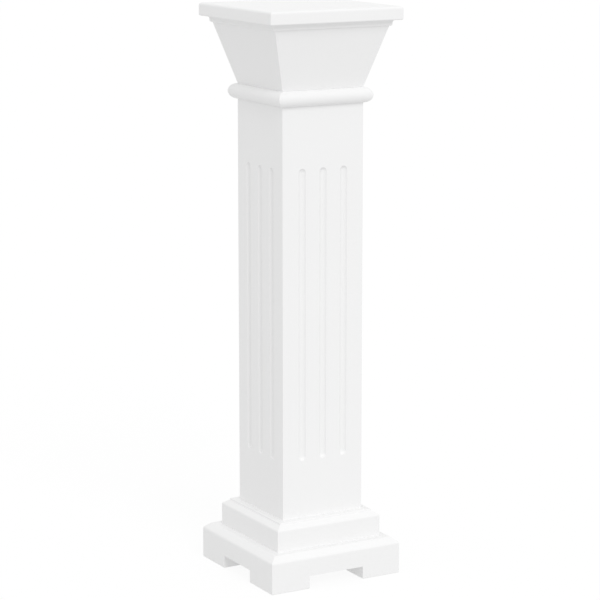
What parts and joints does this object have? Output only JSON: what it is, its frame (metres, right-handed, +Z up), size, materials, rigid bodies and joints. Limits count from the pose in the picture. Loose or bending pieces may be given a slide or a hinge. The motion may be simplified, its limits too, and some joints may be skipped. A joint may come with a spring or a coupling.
{
  "type": "pedestal column stand",
  "caption": "Square pillar plant stand with a stepped plinth on corner feet, a fluted hollow shaft, a bullnosed collar, a flared capital and a flat square top.",
  "frame": {"origin": "middle of the square footprint, on the floor, in the plane of the four soles", "axes": "+Z up along the pillar; +X and +Y square to its sides; -Y is the front, whose opening between the feet is 71 mm wide, and the openings on the X sides are 63 mm wide"},
  "size_m": [0.17, 0.17, 0.66],
  "materials": {
    "painted_board": "fibreboard under sprayed white satin lacquer",
    "raw_board": "bare fibreboard, matte",
    "softwood": "planed softwood, bare",
    "dowel_wood": "turned hardwood, bare",
    "screw_steel": "bright zinc plated"
  },
  "bodies": {
    "root": {"foot_front_left": "painted_board", "foot_front_right": "painted_board", "foot_back_right": "painted_board", "foot_back_left": "painted_board", "lower_plinth": "painted_board", "upper_plinth": "painted_board", "shaft_panel_front": "painted_board", "shaft_panel_right": "painted_board", "shaft_panel_back": "painted_board", "shaft_panel_left": "painted_board", "collar_plate": "painted_board", "capital_panel_front": "painted_board", "capital_panel_right": "painted_board", "capital_panel_back": "painted_board", "capital_panel_left": "painted_board", "bed_board": "painted_board", "top_board": "painted_board", "shaft_foot_block": "raw_board", "shaft_head_block": "raw_board", "capital_floor_block": "raw_board", "shaft_batten_front_left": "softwood", "shaft_batten_front_right": "softwood", "shaft_batten_back_right": "softwood", "shaft_batten_back_left": "softwood", "capital_glue_block_front_left": "softwood", "capital_glue_block_front_right": "softwood", "capital_glue_block_back_right": "softwood", "capital_glue_block_back_left": "softwood", "plinth_dowels": "dowel_wood", "top_dowels": "dowel_wood", "foot_screws": "screw_steel", "base_screws": "screw_steel", "capital_screws": "screw_steel", "bed_screws": "screw_steel"}
  },
  "joints": []
}
